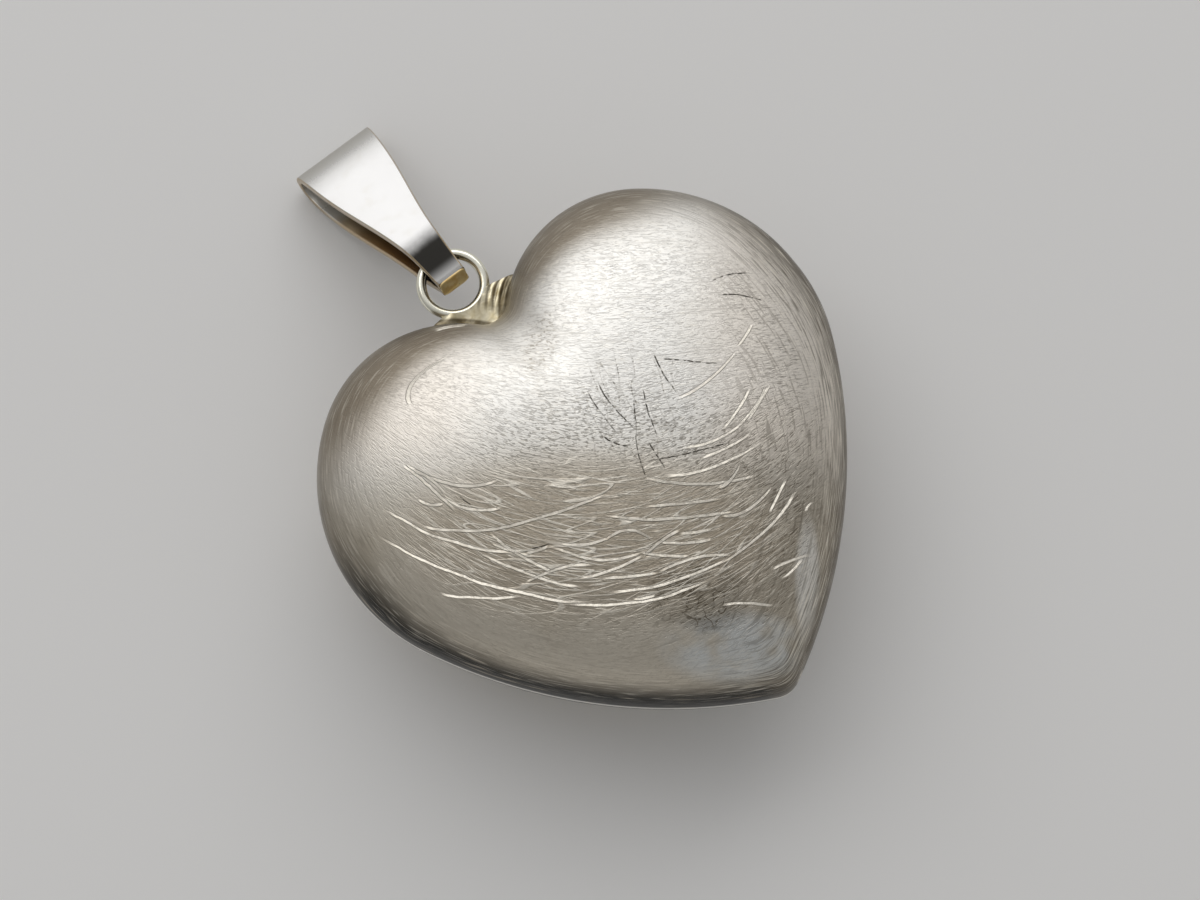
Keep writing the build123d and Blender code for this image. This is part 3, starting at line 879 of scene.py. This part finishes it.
def shaded_rim(at, colour):
    """A colour that darkens down the flanks in painted shade.

    The upper left turns dark brown, streaky shade runs all round, near-black shade lies along the bottom and
    dark shade round the ring, and a painted highlight runs along the very rim.
    """
    streaks = strokes(at.right, at.up, at.height, *RIM_STREAKS)
    # Painted shade: the upper left flank turns dark brown
    upper_left = (at.up - 0.8 * at.right).rise(6.0, 11.0)
    colour = (at.height.rise(5.6, 4.2) * upper_left * 0.9).blend(colour, UPPER_LEFT_SHADE)
    shade = at.height.rise(4.4, 1.0) * (0.65 + 0.5 * streaks + 0.25 * at.rubbed_side)
    colour = (shade * (1.0 - 0.5 * upper_left)).blend(colour, RIM_SHADE)
    # Painted shade, near black and streaky, along the bottom rim
    low_rim = at.up.rise(-6.0, -11.0) * at.right.rise(12.5, 10.0)
    colour = (at.height.rise(3.6, 1.7) * streaks.rise(0.26, 0.44) * low_rim).blend(colour, LOW_RIM_SHADE)
    # A painted highlight along the very rim by the seam
    colour = (at.height.rise(0.45, 0.2) * 0.9).blend(colour, LIT_SILVER)
    # Painted shade round the ring, where the solder meets the heart
    return (at.place.distance(RING).rise(4.6, 3.4) * 0.9).blend(colour, GRIME_AND_SHADE)


def satin_silver(name, scratched):
    """Wire-brushed silver with painted shade below and at the seam, with or without the scratches of the
    front.

    Dark marks lie over the shaded colour, then painted glints of the brush, then bright arcs and scratches
    with painted highlights. All of them stand up or sink in a fine relief.
    """
    material, nodes, place = new_finish(name)
    at = brushed_places(place)
    dashes, glints, specks = brush_marks(at)
    dark = dark_marks(at, dashes, specks)
    bright = bright_arcs(at)
    colour = shaded_rim(at, shaded_and_tinted_face(at, specks))
    if scratched:
        cut, scored, floor = hand_scratches(at)
        bright = bright.either(cut)
        dark = dark.either(scored)

    colour = (dark * 0.9).blend(colour, GRIME_AND_SHADE)
    if scratched:
        colour = scored.blend(colour, SCORED)
    # Painted highlights: glints of the brush in a worn colour
    colour = (glints * (0.3 + 0.3 * at.rubbed_side) * at.off_rim).blend(colour, WORN_AND_GLINT)
    # Bright arcs and scratches: worn metal, painted brighter as highlights
    colour = (bright * 0.95).blend(colour, WORN_AND_GLINT)

    roughness = 0.40 + 0.08 * at.clouds - 0.12 * at.height.rise(3.0, 0.5) - 0.05 * bright
    relief = (0.2 * glints - 0.25 * dashes - 0.2 * specks) * at.off_rim
    relief = relief + (0.4 + 2.6 * at.arcs) * bright - 0.8 * dark
    if scratched:
        relief = relief + FLOOR_STEEPNESS * floor
    surface(nodes, colour, roughness, relief, BRUSH_DEPTH, metal=1.0 - 0.3 * bright)
    return material


def polish_marks(place):
    """The cloudy haze of hand-polished silver, and the fine rub marks that lie across it."""
    haze = place.noise(0.9, detail=3.0, shift=6.0)
    rub = place.vector("MULTIPLY", place, (9.0, 1.4, 1.4)).noise(1.0, detail=2.0, shift=2.0)
    return haze, rub


def ring_silver():
    """Polished wire with a hand-rubbed haze, darkened by painted shade from its sides downwards."""
    bright = (0.95, 0.93, 0.80, 1.0)
    hazy = (0.80, 0.76, 0.58, 1.0)
    painted_shade = (0.22, 0.20, 0.14, 1.0)
    material, nodes, place = new_finish("ring_silver")
    haze, rub = polish_marks(place)
    colour = (haze.rise(0.45, 0.75) * 0.5).blend(bright, hazy)
    # Painted shade on the lower half of the wire
    sides = place.dot((0.0, 0.0, 1.0)).rise(0.15, -0.05)
    colour = (sides * 0.85).blend(colour, painted_shade)
    surface(nodes, colour, 0.14 + 0.1 * haze + 0.04 * rub, haze, depth=4e-6)
    return material


def seam_grime():
    """The solder line between the halves, dark with old polish."""
    dark = (0.08, 0.075, 0.06, 1.0)
    rubbed = (0.30, 0.27, 0.21, 1.0)
    material, nodes, place = new_finish("seam_grime")
    spots = place.noise(1.2, detail=2.0, shift=9.0)
    colour = spots.rise(0.35, 0.65).blend(dark, rubbed)
    surface(nodes, colour, 0.35 + 0.2 * spots, spots, depth=4e-6)
    return material


def strap_silver():
    """Mirror-bright silver strip.

    It is brownish along its cut edges, in painted shade on the faces inside the loop, rougher and in painted
    shade on the fold, and painted with a dark reflection on the neck where its ends were soldered.
    """
    bright = (0.94, 0.93, 0.91, 1.0)
    hazy = (0.84, 0.80, 0.71, 1.0)
    fold_shade = (0.46, 0.445, 0.40, 1.0)
    dark_neck_reflection = (0.02, 0.019, 0.017, 1.0)
    cut_edge = (0.50, 0.39, 0.24, 1.0)
    painted_shade = (0.58, 0.45, 0.29, 1.0)
    material, nodes, place = new_finish("bright_strip")
    on_axis = place.vector("SUBTRACT", place, floats(SWING))
    along = on_axis.dot(ALONG_BAIL)
    front = abs(on_axis.dot(FRONT_OF_BAIL))
    across = abs(on_axis.dot((1.0, 0.0, 0.0)))
    haze, rub = polish_marks(place)

    taper = (BAIL_FOLD_WIDTH - BAIL_END_WIDTH) / BAIL_LENGTH / 2
    straight = BAIL_END_WIDTH / 2 + taper * BAIL_END_REACH
    part = along * float(2 * np.pi / BAIL_LENGTH) + float(2 * np.pi * BAIL_END_REACH / BAIL_LENGTH)
    half_width = straight + taper * along - BAIL_CURVE * part.math("SINE", part)
    edge = (half_width - across).rise(0.10, 0.04)
    inside = (BAIL_EYE_RADIUS + BAIL_STRIP / 2 - front).rise(-0.02, 0.1) * along.rise(0.9, 1.4)
    inside = inside * along.rise(FOLD_REACH - 1.5, FOLD_REACH - 3.0)
    neck_reflection = (along + 0.5 * haze).rise(2.1, 0.5) * (0.7 + 0.3 * along.rise(-1.9, -0.9))
    fold = along.rise(FOLD_REACH - 2.6, FOLD_REACH + 1.2)

    colour = (haze.rise(0.5, 0.75) * 0.2).blend(bright, hazy)
    # Painted shade on the fold, which is also rougher
    colour = (fold * 0.85).blend(colour, fold_shade)
    # A painted dark reflection on the neck by the soldered end
    colour = neck_reflection.blend(colour, dark_neck_reflection)
    colour = (edge * (0.5 + 0.5 * haze)).blend(colour, cut_edge)
    # Painted shade on the faces inside the loop
    colour = (inside * 0.9).blend(colour, painted_shade)
    roughness = 0.11 + 0.08 * haze + 0.05 * rub + 0.08 * neck_reflection + 0.18 * fold
    surface(nodes, colour, roughness, rub, depth=4e-7)
    return material


def from_lobe(place, side):
    """How far a place lies outside the top arc of the left lobe, side -1, or of the right one, side 1."""
    return place.distance((side * LOBE_TOP[0], LOBE_TOP[1], 0.0)) - LOBE_TOP_RADIUS


def silver_solder(name, pale, deep, creviced, metal=1.0):
    """Yellowish solder between a pale and a deep colour, rougher in patches, with small lumps.

    The pool in the cleft has painted shade in its crevices along both lobes, and between its ridges on the
    right.
    """
    crevice_shade = (0.10, 0.075, 0.04, 1.0)
    material, nodes, place = new_finish(name)
    lumps = place.noise(1.8, detail=2.0, shift=8.0)
    colour = lumps.rise(0.35, 0.7).blend(pale, deep)
    if creviced:
        left = from_lobe(place, -1)
        right = from_lobe(place, 1)
        ripple = right * float(2 * np.pi / SOLDER_RIDGE)
        grooves = ripple.math("SINE", ripple).rise(0.2, -0.8) * left.rise(0.9, 1.6)
        crevice = left.rise(0.6, 0.42).either(right.rise(0.5, 0.35)).either(grooves * 0.7)
        # Painted shade in the crevices
        colour = (crevice * (0.6 + 0.5 * lumps)).blend(colour, crevice_shade)
    surface(nodes, colour, 0.22 + 0.16 * lumps, lumps, depth=3e-5, metal=metal)
    return material


def pale_floor():
    """A plain pale sheet under the charm."""
    reach = 3.0
    corners = [(-reach, -reach, 0), (reach, -reach, 0), (reach, reach, 0), (-reach, reach, 0)]
    mesh = bpy.data.meshes.new("floor")
    mesh.from_pydata(corners, [], [(0, 1, 2, 3)])
    floor = bpy.data.objects.new("floor", mesh)
    bpy.context.scene.collection.objects.link(floor)
    material = bpy.data.materials.new("pale_paper")
    material.use_nodes = True
    paper = material.node_tree.nodes["Principled BSDF"]
    paper.inputs["Base Color"].default_value = (0.88, 0.87, 0.85, 1.0)
    paper.inputs["Roughness"].default_value = 0.9
    mesh.materials.append(material)


def soft_box(name, towards, distance, width, height, glow, roll=0.0):
    """A flat soft lamp that looks at the charm from a direction, its left end raised by a roll in degrees.

    Its glow is its brightness as seen: the power spread over its area and over the half sphere before it.
    """
    lamp = bpy.data.lights.new(name, "AREA")
    lamp.shape = "RECTANGLE"
    lamp.size = width
    lamp.size_y = height
    lamp.energy = glow * np.pi * width * height
    side = unit(np.cross([0.0, 0.0, 1.0], towards))
    up = np.cross(towards, side)
    cosine, sine = np.cos(np.radians(roll)), np.sin(np.radians(roll))
    turn = np.stack([cosine * side + sine * up, cosine * up - sine * side, towards], axis=-1)
    box = bpy.data.objects.new(name, lamp)
    box.matrix_world = Matrix.Translation(towards * distance) @ Matrix(turn.tolist()).to_4x4()
    bpy.context.scene.collection.objects.link(box)


def from_picture(azimuth, elevation):
    """A direction given by degrees clockwise from the picture's upright and degrees above the floor."""
    turn = np.radians(azimuth) + PICTURE_TURN
    level = np.cos(np.radians(elevation))
    return np.array([level * np.sin(turn), level * np.cos(turn), np.sin(np.radians(elevation))])


def studio():
    """Soft studio light: a wide window above the picture, a small low one for the strap, and a dim room."""
    dim = (0.30, 0.30, 0.30, 1.0)
    pale = (0.56, 0.56, 0.57, 1.0)
    window = from_picture(-16, 46)
    low_window = from_picture(-29, 18)
    soft_box("window", window, distance=0.5, width=0.86, height=0.34, glow=0.98, roll=14.0)
    soft_box("low_window", low_window, distance=0.5, width=0.20, height=0.17, glow=0.5)
    world = bpy.data.worlds.new("room")
    world.use_nodes = True
    world.node_tree.nodes.clear()
    nodes = Field(world.node_tree)
    way = nodes.add("ShaderNodeTexCoord", {}, output="Generated")
    light = way.dot(window).rise(0.2, 1.0).blend(dim, pale)
    glow = nodes.add("ShaderNodeBackground", {"Color": light, "Strength": 1.0})
    nodes.add("ShaderNodeOutputWorld", {"Surface": glow})
    bpy.context.scene.world = world


def camera():
    """The photograph's view, almost straight from above and turned so that the heart leans to the left."""
    lens = bpy.data.cameras.new("camera")
    lens.lens = LENS
    lens.sensor_width = 36.0
    lens.sensor_fit = "HORIZONTAL"
    lens.clip_start = 0.01
    eye = bpy.data.objects.new("camera", lens)
    eye.matrix_world = Matrix.Translation((PLACE + LENS_PLACE) / 1000) @ Matrix(LENS_TURN).to_4x4()
    bpy.context.scene.collection.objects.link(eye)
    bpy.context.scene.camera = eye


def build():
    """All pieces of the charm, its floor, light and camera."""
    yellow = {"pale": (0.86, 0.78, 0.57, 1.0), "deep": (0.62, 0.53, 0.33, 1.0)}
    gold = {"pale": (0.96, 0.78, 0.42, 1.0), "deep": (0.80, 0.56, 0.22, 1.0)}
    shell("front_shell", 1.0, satin_silver("brushed_front", scratched=True))
    shell("back_shell", -1.0, satin_silver("brushed_back", scratched=False))
    seam_bead(seam_grime())
    wire_ring(ring_silver())
    cleft_solder(silver_solder("yellow_solder", **yellow, creviced=True))
    folded_strap(strap_silver())
    end_solder(silver_solder("gold_solder", **gold, creviced=False, metal=0.5))
    pale_floor()
    studio()
    camera()
    bpy.context.scene.view_settings.view_transform = "Standard"


build()
